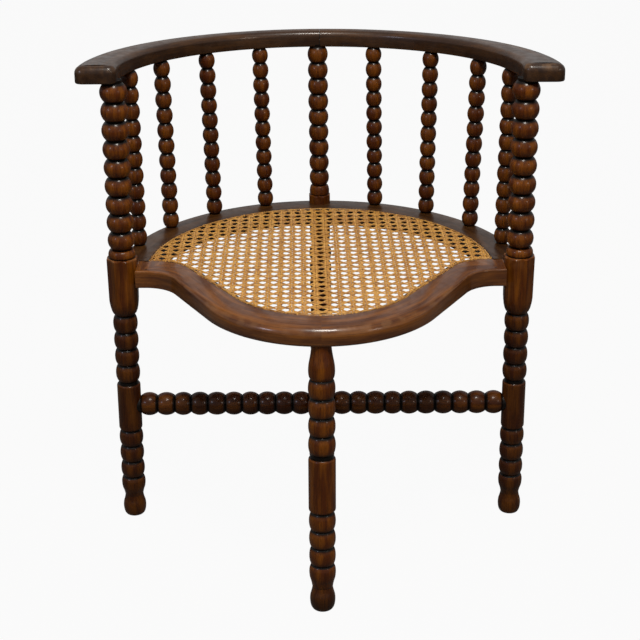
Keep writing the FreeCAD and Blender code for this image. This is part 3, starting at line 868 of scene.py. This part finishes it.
def rounding(top_round):
    """(inset, height) from the underside up to the top, round the lower and upper edges."""
    rings = []
    for step in range(LOW_STEPS + 1):
        turn = math.pi / 2 * step / LOW_STEPS
        rings.append((ARM_LOW_ROUND * (1 - math.sin(turn)), ARM_LOW_ROUND * (1 - math.cos(turn))))
    for step in range(ROUND_STEPS + 1):
        turn = math.pi / 2 * step / ROUND_STEPS
        height = ARM_THICK - CROWN - top_round * (1 - math.sin(turn))
        rings.append((top_round * (1 - math.cos(turn)), height))
    return rings


def tilted(point):
    """Lifts the flat arm to its slope, which turns about the line through the back post."""
    y, z = point.y - RING_RADIUS, point.z
    up = z * math.cos(ARM_SLOPE) - y * math.sin(ARM_SLOPE) + ARM_UNDER_BACK
    return Vector((point.x, RING_RADIUS + y * math.cos(ARM_SLOPE) + z * math.sin(ARM_SLOPE), up))


def handling_and_side_shade(y, level):
    """Hands have darkened the front ends, and painted shade darkens the upright faces and the underside."""
    darker = END_DARK * clamped((END_DARK_REACH - y) / END_DARK_REACH)
    return darker if level > ROUND_START else max(darker, PAINTED_SIDE_SHADE)


def end_wear(level):
    """Wear over the rounded top edge of the front end, most at the middle of the rounding."""
    if ROUND_START < level < ROUND_START + ROUND_STEPS:
        return 0.6 * math.sin(math.pi * (level - ROUND_START) / ROUND_STEPS)
    return 0.0


print("levels in the arm's section:", len(rounding(ARM_OUTER_ROUND)))

# %% Arm halves
SEAM_GROOVE = 0.7
SEAM_GAP = 0.03
SEAM_DRAWN_IN = 0.985
# The grain of the sawn halves is laid round a circle that follows the middle of the arm
GRAIN_BEHIND = 30.0
GRAIN_RADIUS = 320.0


def bridge(surface, row, count, crown):
    """Fills between the outer and inner edge of a level face, lifted to a slight crown."""
    left = row[:count]
    right = list(reversed(row[count:]))
    strips = [left]
    for share in (0.2, 0.5, 0.8):
        strip_row = []
        for a, b in zip(left, right):
            point = surface.points[a].lerp(surface.points[b], share)
            point.z += crown * (1 - abs(2 * share - 1) ** 2.2)
            grain = Vector(surface.grain[a]).lerp(Vector(surface.grain[b]), share)
            strip_row.append(surface.add(point, grain, surface.grime_and_shade[a]))
        strips.append(strip_row)
    strips.append(right)
    surface.skin(strips, False)


def arm_half(side):
    """One half of the arm; side is 1 for the right."""
    surface = Surface()
    plan = outer + inner
    front_end = len(outer)
    rows = []
    for level, (outside, inside) in enumerate(zip(rounding(ARM_OUTER_ROUND), rounding(ARM_INNER_ROUND))):
        row = []
        for number, (point, normal) in enumerate(plan):
            share = clamped((number - front_end + 9) / 18)
            inset = outside[0] * (1 - share) + inside[0] * share
            height = outside[1] * (1 - share) + inside[1] * share
            place = point - normal * inset
            x = max(place.x, 0.0)
            grime_and_shade = handling_and_side_shade(place.y, level)
            if number in (0, len(plan) - 1):
                height = ARM_THICK / 2 + (height - ARM_THICK / 2) * SEAM_DRAWN_IN
                x += SEAM_GAP
                grime_and_shade = SEAM_GROOVE
            at_end = normal.y < -0.2 and abs(number - front_end) < WORN_POINTS
            along = math.atan2(place.x, place.y + GRAIN_BEHIND) * GRAIN_RADIUS
            grain = (along, (place - ARM_OUTER_CENTRE).length, height)
            lifted = tilted(Vector((side * x, place.y, height)))
            row.append(surface.add(lifted, grain, grime_and_shade, end_wear(level) if at_end else 0.0))
        rows.append(row)
    surface.skin(rows, False)
    bridge(surface, rows[0], front_end, 0.0)
    bridge(surface, rows[-1], front_end, CROWN)
    surface.faces.append(tuple(row[0] for row in rows) + tuple(row[-1] for row in reversed(rows)))
    return surface


for label, side in SIDES:
    piece("arm_half_" + label, arm_half(side), arm_oak, [label + "_arm_rail"])

# %% [markdown]
# ## The seat frame
# Two quarter rings form the back of the seat and two serpentine rails form the front. Their outlines are
# arcs that run into each other: a hollow beside each post and a bow at the middle. The cane edge inside
# follows a tighter copy of the same line. The rails are swept: the section is set up again at every step
# along both lines, and at the front its edges soften from a sharp arris beside the posts to a full
# bullnose at the middle. A curve with one bevel could not change its section so.

# %% Lines of the seat
def serpentine(front, bow_radius, corner, hollow_radius, end_x):
    """(point, outward normal) pairs from (end_x, corner y) round the hollow and the bow to the middle."""
    corner = Vector(corner)
    bow_centre = Vector((0, bow_radius - front))
    to_corner = corner - bow_centre
    reach = to_corner.length
    turn = math.asin(bow_radius / reach) + math.atan2(to_corner.y, to_corner.x)
    cut_back = min(hollow_radius * math.tan(turn / 2), 0.95 * (end_x - corner.x))
    hollow_radius = cut_back / math.tan(turn / 2)
    hollow_centre = corner + Vector((cut_back, -hollow_radius))
    run = math.sqrt(reach ** 2 - bow_radius ** 2)
    heading = math.pi + turn
    bow_start = corner + Vector((math.cos(heading), math.sin(heading))) * run
    start_turn = math.atan2(bow_start.y - bow_centre.y, bow_start.x)
    line = [(Vector((end_x, corner.y)), Vector((0, -1)))]
    line += arc(hollow_centre, hollow_radius, math.pi / 2, math.pi / 2 + turn, 16, -1)
    line += arc(bow_centre, bow_radius, start_turn, -math.pi / 2, 36)
    return line


JOINT_Y = 18.0
BLOCK_FACE_X = 267.6
RAIL_CORNER = (223.0, -24.0)
CANE_BACK_RADIUS = 252.0
CANE_BACK_Y = 2.0
CANE_CORNER = (211.0, 20.0)
cane_side_y = CANE_CORNER[1] - CANE_BACK_Y
cane_side_x = math.sqrt(CANE_BACK_RADIUS ** 2 - cane_side_y ** 2)
cane_front = serpentine(188.0, 140.0, CANE_CORNER, 62.0, cane_side_x)
cane_side_turn = math.asin(cane_side_y / CANE_BACK_RADIUS)
cane_back = arc((0, CANE_BACK_Y), CANE_BACK_RADIUS, cane_side_turn, math.pi / 2, 60)
rail_front = serpentine(235.0, 178.0, RAIL_CORNER, 52.0, BLOCK_FACE_X)
rail_length = sum((b[0] - a[0]).length for a, b in zip(rail_front, rail_front[1:]))
print("length of the front rail's outer line: %.0f mm" % rail_length)

# %% Even steps along a line
def measured(line, count):
    """The line as count points at even distances, with their normals."""
    lengths = [0.0]
    for (a, _), (b, _) in zip(line, line[1:]):
        lengths.append(lengths[-1] + (b - a).length)
    found = []
    segment = 0
    for number in range(count):
        want = lengths[-1] * number / (count - 1)
        while segment < len(line) - 2 and lengths[segment + 1] < want:
            segment += 1
        gap = lengths[segment + 1] - lengths[segment]
        share = (want - lengths[segment]) / gap if gap else 0.0
        (a, a_normal), (b, b_normal) = line[segment], line[segment + 1]
        found.append((a.lerp(b, share), a_normal.lerp(b_normal, share).normalized()))
    return found


halfway = measured(rail_front, 3)[1][0]
print("halfway along the front rail:", [round(value) for value in halfway])

# %% Swept rails
LEDGE = 8.0
LEDGE_TOP = 410.2
CANE_SIDE_EDGE = 1.2


def swept(stations, side):
    """A rail from stations, lists of (x, y, z, groove, wear) round its section, with both ends closed."""
    surface = Surface()
    rows = []
    travelled = 0.0
    before = None
    for station in stations:
        first = Vector(station[0][:3])
        travelled += (first - before).length if before else 0.0
        before = first
        row = []
        for x, y, z, grime_and_shade, wear_and_highlight in station:
            across = (Vector((x, y, 0)) - Vector((first.x, first.y, 0))).length
            row.append(surface.add((side * x, y, z), (travelled, across, z), grime_and_shade, wear_and_highlight))
        rows.append(row)
    surface.tube(rows)
    return surface


def rail_section(outer_point, normal, inner_point, inner_normal, top_round, low_round, wear_and_highlight):
    """Round the section: up the outer side, over the top, down into the cane ledge and back underneath."""
    section = []

    def corner(base, outward, radius, height, start, end, steps, worn_and_highlight):
        for step in range(steps + 1):
            turn = math.radians(start + (end - start) * step / steps)
            place = base - outward * (radius * (1 - math.cos(turn)))
            worn_here = worn_and_highlight * abs(math.sin(2 * turn))
            section.append((place.x, place.y, height + radius * math.sin(turn), 0.0, worn_here))

    corner(outer_point, normal, low_round, SEAT_UNDER + low_round, -90, 0, 4, 0.0)
    corner(outer_point, normal, top_round, SEAT_TOP - top_round, 0, 90, 7, wear_and_highlight)
    inward = -inner_normal
    corner(inner_point, inward, CANE_SIDE_EDGE, SEAT_TOP - CANE_SIDE_EDGE, 90, 0, 3, 0.15)
    opening = inner_point + inward * LEDGE
    # Painted shade darkens the ledge under the cane, most in its inner corner
    section.append((inner_point.x, inner_point.y, LEDGE_TOP, 1.0, 0.0))
    section.append((opening.x, opening.y, LEDGE_TOP, 0.6, 0.0))
    section.append((opening.x, opening.y, SEAT_UNDER, 0.3, 0.0))
    return section


def both_rails(end, shape, stations, material):
    """Makes the left and the right rail of one end of the seat."""
    for label, side in SIDES:
        name = "%s_%s_rail" % (end, label)
        piece("%s_%s" % (shape, name), swept(stations, side), material, [name])


print("the cane lies %.1f mm below the top of the frame" % (SEAT_TOP - LEDGE_TOP))

# %% Front rails
STATIONS = 90
SOFT_FROM_X = 225.0
SOFT_OVER = 120.0
# The outer line starts up the joint beside the post, and the cane line starts at the same joint
sideways = Vector((1, 0))
outer_line = [(Vector((BLOCK_FACE_X, JOINT_Y)), sideways), (Vector((BLOCK_FACE_X, -23.8)), sideways)]
outer_line = measured(outer_line + rail_front, STATIONS)
inner_line = [(Vector((cane_side_x, JOINT_Y)), Vector((0, -1)))]
inner_line = measured(inner_line + cane_front, STATIONS)
stations = []
for (a, a_normal), (b, b_normal) in zip(outer_line, inner_line):
    soft = clamped((SOFT_FROM_X - a.x) / SOFT_OVER)
    soft = soft * soft * (3 - 2 * soft)
    top_round, low_round = 1.8 + 10.5 * soft, 1.6 + 2.4 * soft
    stations.append(rail_section(a, a_normal, b, b_normal, top_round, low_round, 0.25))
both_rails("front", "shaped", stations, rail_oak)

# %% Back rails
RIM_RADIUS = 296.0
RIM_TOP_ROUND = 3.4
RIM_LOW_ROUND = 1.6
rim_outer = arc((0, 0), RIM_RADIUS, math.asin(JOINT_Y / RIM_RADIUS), math.pi / 2, 70)
rim_inner = measured(cane_back, len(rim_outer))
stations = []
for (a, a_normal), (b, b_normal) in zip(rim_outer, rim_inner):
    stations.append(rail_section(a, a_normal, b, b_normal, RIM_TOP_ROUND, RIM_LOW_ROUND, 0.1))
both_rails("back", "ring", stations, arm_oak)

# %% [markdown]
# ## The cane seat
# Six-way caning is woven straight into the frame. Pairs of strips run front to back and side to side,
# plain woven, and single strips cross on both diagonals, so that each opening is an octagon. Every strip
# here is a real thin strip with a domed top: it follows its line, rises and falls over what it crosses,
# and stops where the frame begins. A woven texture on a flat sheet would be cheaper, but the seat is seen
# from close above, with daylight through its holes.

# %% Where the strips run
PITCH = 16.63
CANE_TURN = math.radians(0.7)
outline_right = [point for point, _ in cane_front]
back_points = [point for point, _ in cane_back]
half_line = list(reversed(outline_right)) + back_points[1:]
cane_edge = half_line + [Vector((-p.x, p.y)) for p in reversed(half_line[1:-1])]


def spans(origin, direction, edge):
    """Where a line lies inside a closed outline, as (start, end) distances along it."""
    normal = Vector((-direction.y, direction.x))
    crossings = []
    for a, b in zip(edge, edge[1:] + edge[:1]):
        side_a = (a - origin).dot(normal)
        side_b = (b - origin).dot(normal)
        if (side_a < 0) != (side_b < 0):
            share = side_a / (side_a - side_b)
            crossings.append((a.lerp(b, share) - origin).dot(direction))
    crossings.sort()
    return list(zip(crossings[::2], crossings[1::2]))


print("points round the cane:", len(cane_edge))

# %% One strip
STRIP_THICK = 0.7
CANE_MID = 411.2
# How strongly painted shade darkens the edges of a strip, where it meets its neighbours
EDGE_SHADE = 0.85
# Across a strip: the share of its width, and the share of its thickness that the top reaches
DOME = ((-0.5, 0.0), (-0.3, 0.75), (0.0, 1.0), (0.3, 0.75), (0.5, 0.0))
WEAVE = 0.42
STRAIGHT_SHARE = 0.6
SLANT_LIFT = 0.35


def rise(straight, sign, period, distance):
    """How far a strip is lifted over what it crosses; slanting strips lie above the straight ones."""
    if straight:
        return sign * WEAVE * STRAIGHT_SHARE * math.sin(math.tau * (distance / period - 0.5))
    return SLANT_LIFT + sign * WEAVE * math.cos(math.tau * distance / period / 2)


def strip(surface, origin, direction, span, width, weave, grain_shift):
    """One flat strip with a domed top and a flat underside; weave is what rise wants before the distance."""
    start, end = span
    count = max(int((end - start) / (PITCH / 4)) + 1, 2)
    across = Vector((-direction.y, direction.x))
    rows = []
    for number in range(count + 1):
        distance = start + (end - start) * number / count
        middle_point = origin + direction * distance
        lift = CANE_MID + rise(*weave, distance)
        row = []
        for place, dome in DOME:
            point = middle_point + across * place * width
            z = lift - STRIP_THICK / 2 + dome * STRIP_THICK
            grain = (distance, place * width + grain_shift[0], grain_shift[1])
            row.append(surface.add((point.x, point.y, z), grain, EDGE_SHADE if abs(place) > 0.45 else 0.0))
        rows.append(row)
    surface.tube(rows)


print("a strip is %.1f mm thick" % STRIP_THICK)

# %% Weaving
STRIP_PAIR = 3.7
STRAIGHT_WIDTH = 3.2
SLANT_WIDTH = 3.1
LINES_EACH_WAY = 40
SHORTEST = 4.0
# Name, angle, whether the strips run straight, and which way they start to weave
FAMILIES = (
    ("front to back", math.pi / 2, True, 1),
    ("side to side", 0.0, True, -1),
    ("left diagonal", math.pi / 4, False, 1),
    ("right diagonal", -math.pi / 4, False, -1),
)
surface = Surface()
for family, (name, angle, straight, way) in enumerate(FAMILIES):
    hand = random.Random(40 + family)
    direction = Vector((math.cos(CANE_TURN + angle), math.sin(CANE_TURN + angle)))
    across = Vector((-direction.y, direction.x))
    gap = PITCH if straight else PITCH / math.sqrt(2)
    width = STRAIGHT_WIDTH if straight else SLANT_WIDTH
    # The two strips of a pair weave opposite to each other
    lines = ((-STRIP_PAIR / 2, -way), (STRIP_PAIR / 2, way)) if straight else ((0.0, way),)
    strips = 0
    for number in range(-LINES_EACH_WAY, LINES_EACH_WAY):
        for offset, sign in lines:
            origin = across * ((number + 0.5) * gap + offset + hand.uniform(-0.25, 0.25))
            for span in spans(origin, direction, cane_edge):
                if span[1] - span[0] > SHORTEST:
                    grain_shift = (hand.uniform(0, 900), hand.uniform(0, 900))
                    strip(surface, origin, direction, span, width, (straight, sign, gap), grain_shift)
                    strips += 1
    print(name, "strips:", strips)
piece("woven_cane_seat", surface, honey_cane, ["cane_panel"], crease=math.radians(60))

# %% [markdown]
# ## The binding
# A thicker strip lies along the edge of the weave and covers the holes. It is tied down by a loop of fine
# cane at every hole, which is what gives the edge its beaded look. Both are swept along the cane's edge,
# and the loops are short arched strips across it.

# %% Binding strip
BINDING_WIDTH = 3.6
BINDING_LOW = 411.7
BINDING_DOME = 0.95
BINDING_INSET = 0.4
BINDING_STEPS = 420
surface = Surface()
edge = []
for i, point in enumerate(cane_edge):
    tangent = (cane_edge[(i + 1) % len(cane_edge)] - cane_edge[i - 1]).normalized()
    edge.append((point, Vector((tangent.y, -tangent.x))))
edge.append(edge[0])
rows = []
for number, (point, normal) in enumerate(measured(edge, BINDING_STEPS)[:-1]):
    row = []
    for place, dome in DOME:
        spot = point - normal * (BINDING_INSET + BINDING_WIDTH * (0.5 + place))
        z = BINDING_LOW + BINDING_DOME * dome
        # The binding is darkened a little all over, and most at its edges by painted shade beside the weave
        row.append(surface.add((spot.x, spot.y, z), (number * 4.0, place * 4, 0), 0.3 + 0.5 * (1 - dome)))
    rows.append(row)
surface.skin(rows + rows[:1], True)
print("steps along the binding:", len(rows))

# %% Loops over the binding
LOOP_EVERY = 16.0
# (share of the binding's width, height) over the binding, and (along, drop) round the loop's own section
LOOP_ARCH = ((-0.15, -0.6), (0.05, 0.55), (0.5, 1.25), (0.95, 0.55), (1.15, -0.6))
LOOP_SECTION = ((-0.9, 0.25), (0.0, 0.0), (0.9, 0.25), (0.0, 0.6))
edge_length = sum((b - a).length for a, b in zip(cane_edge, cane_edge[1:] + cane_edge[:1]))
loops = int(edge_length / LOOP_EVERY)
for number, (point, normal) in enumerate(measured(edge, loops + 1)[:-1]):
    tangent = Vector((-normal.y, normal.x))
    rows = []
    for share, height in LOOP_ARCH:
        spot = point - normal * (BINDING_INSET + BINDING_WIDTH * share)
        row = []
        for along, drop in LOOP_SECTION:
            place = spot + tangent * along
            z = BINDING_LOW + height - drop
            # Painted shade darkens the underside and sides of each loop
            row.append(surface.add((place.x, place.y, z), (share * 5, along + number * 7, 0), drop * 0.6))
        rows.append(row)
    surface.tube(rows)
piece("cane_edge_binding", surface, honey_cane, ["cane_binding"], crease=math.radians(70))
print("loops round the binding:", loops)

# %% [markdown]
# ## Pegs and dowels
# Four small pegs pin the corner joints from above and show as darker end grain, very slightly proud,
# because the frame has shrunk round them. The dowels lie inside the joints, so they keep their plain CAD
# shape and only take the wood's finish.

# %% Pegs and dowels
PEG_PLACES = ((258.0, 33.0), (252.0, -15.0))
PEG_HEAD = ((-12.0, 4.0, 0.0), (-0.4, 4.0, 0.8), (0.05, 3.6, 0.5), (0.25, 2.2, 0.2), (0.3, 0.4, 0.2))
surface = Surface()
for x, y in PEG_PLACES:
    for _, side in SIDES:
        turned(surface, PEG_HEAD, Vector((side * x, y, SEAT_TOP)), UPWARDS)
piece("corner_peg_heads", surface, peg_oak, ["frame_pegs"])
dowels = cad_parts["frame_dowels"]
dowels.data.materials.clear()
dowels.data.materials.append(peg_oak)
print("dowels take", peg_oak.name)

# %% [markdown]
# ## Floor, light and camera
# The chair stands on a plain pale floor in soft light: a broad lamp overhead and forward, a cooler one at
# the left that puts a bluish touch on the turnings, and a weak fill at the right. To the camera the floor
# and the surroundings are lifted towards white, and the floor keeps the chair's shadow. Old wax mirrors
# them only dimly, so in reflections they are lifted by a small share.

# %% What sees the background
FLOOR_LIFT = 0.95
FLOOR_IN_WAX = 0.06
BACKDROP_IN_WAX = 0.5
BACKDROP_LIGHT = 0.08
FLOOR_HALF = 60.0
WHITE = (1, 1, 1, 1)


def background_seen(tree, in_wax):
    """1 where the camera or clear glass sees the background, and a smaller share in a glossy reflection."""
    path = add_node(tree, "ShaderNodeLightPath")
    glossy = {0: path.outputs["Is Glossy Ray"], 1: in_wax}
    mirrored = add_node(tree, "ShaderNodeMath", {"operation": "MULTIPLY"}, glossy)
    seen = path.outputs["Is Camera Ray"]
    for other in (mirrored.outputs[0], path.outputs["Is Transmission Ray"]):
        seen = add_node(tree, "ShaderNodeMath", {"operation": "MAXIMUM"}, {0: seen, 1: other}).outputs[0]
    return seen


print("the floor is lifted by %.0f %% of the way to white" % (100 * FLOOR_LIFT))

# %% Floor
corners = [(x * FLOOR_HALF, y * FLOOR_HALF, 0) for x, y in ((-1, -1), (1, -1), (1, 1), (-1, 1))]
floor_mesh = bpy.data.meshes.new("floor")
floor_mesh.from_pydata(corners, [], [(0, 1, 2, 3)])
floor = bpy.data.objects.new("floor", floor_mesh)
bpy.context.scene.collection.objects.link(floor)
# Matt paint on a smooth floor: an even pale grey with a soft shadow and no gloss
material, tree = new_material("pale_painted_floor")
seen = background_seen(tree, FLOOR_IN_WAX)
lifted = add_node(tree, "ShaderNodeMath", {"operation": "MULTIPLY"}, {0: seen, 1: FLOOR_LIFT})
paint = add_node(tree, "ShaderNodeBsdfDiffuse", {}, {"Color": linear("#7c7a76")})
glow = add_node(tree, "ShaderNodeEmission", {}, {"Color": WHITE, "Strength": 1.0})
parts = {0: lifted.outputs[0], 1: paint.outputs[0], 2: glow.outputs[0]}
mixed = add_node(tree, "ShaderNodeMixShader", {}, parts)
add_node(tree, "ShaderNodeOutputMaterial", {}, {"Surface": mixed.outputs[0]})
floor_mesh.materials.append(material)
print("the floor is %.0f m wide" % (2 * FLOOR_HALF))

# %% World
world = bpy.data.worlds.new("soft_studio")
bpy.context.scene.world = world
world.use_nodes = True
tree = world.node_tree
tree.nodes.clear()
seen = background_seen(tree, BACKDROP_IN_WAX)
strength = add_node(tree, "ShaderNodeMapRange", {}, {"Value": seen, "To Min": BACKDROP_LIGHT, "To Max": 1.0})
sky = add_node(tree, "ShaderNodeBackground", {}, {"Color": WHITE, "Strength": strength.outputs["Result"]})
add_node(tree, "ShaderNodeOutputWorld", {}, {"Surface": sky.outputs[0]})
print("floor and world ready")

# %% Lamps
LAMP_TARGET = Vector((0, 0, 0.4))


def softbox(name, place, size, watts, colour):
    """A square area lamp that faces the middle of the seat; places are in metres."""
    lamp = bpy.data.lights.new(name, "AREA")
    lamp.shape = "SQUARE"
    lamp.size = size
    lamp.energy = watts
    lamp.color = linear(colour)[:3]
    holder = bpy.data.objects.new(name, lamp)
    holder.location = place
    holder.rotation_euler = (LAMP_TARGET - Vector(place)).to_track_quat("-Z", "Y").to_euler()
    bpy.context.scene.collection.objects.link(holder)


softbox("overhead_softbox", (0.1, -0.9, 2.5), 0.5, 50, "#fffaf2")
softbox("window_left", (-2.0, -1.7, 1.7), 0.45, 13, "#dfe6ff")
softbox("fill_right", (2.0, -1.9, 1.5), 0.45, 8, "#fff4e6")

# %% Camera
# A long lens from above the arm, as the photograph was taken: looking 23.3 degrees down from about 1.9 m,
# with the camera held three tenths of a degree askew. Angles are in radians.
SENSOR_MM = 36.0
LENS_MM = 78.49
SHIFT_X = -0.00125
LOOKS_DOWN = 0.40720
TURNED_RIGHT = 0.00115
HELD_ASKEW = 0.0052
lens = bpy.data.cameras.new("camera")
lens.sensor_width = SENSOR_MM
lens.lens = LENS_MM
lens.shift_x = SHIFT_X
camera = bpy.data.objects.new("camera", lens)
camera.location = metres(-2.6, -1892.6, 1140.6)
turn_right = Matrix.Rotation(-TURNED_RIGHT, 3, "Z")
look_down = Matrix.Rotation(math.pi / 2 - LOOKS_DOWN, 3, "X")
askew = Matrix.Rotation(-HELD_ASKEW, 3, "Z")
camera.rotation_euler = (turn_right @ look_down @ askew).to_euler()
bpy.context.scene.collection.objects.link(camera)
bpy.context.scene.camera = camera
bpy.context.scene.view_settings.view_transform = "Standard"
print("camera at", [round(value, 4) for value in camera.location])

# %% The end
bpy.context.view_layer.update()
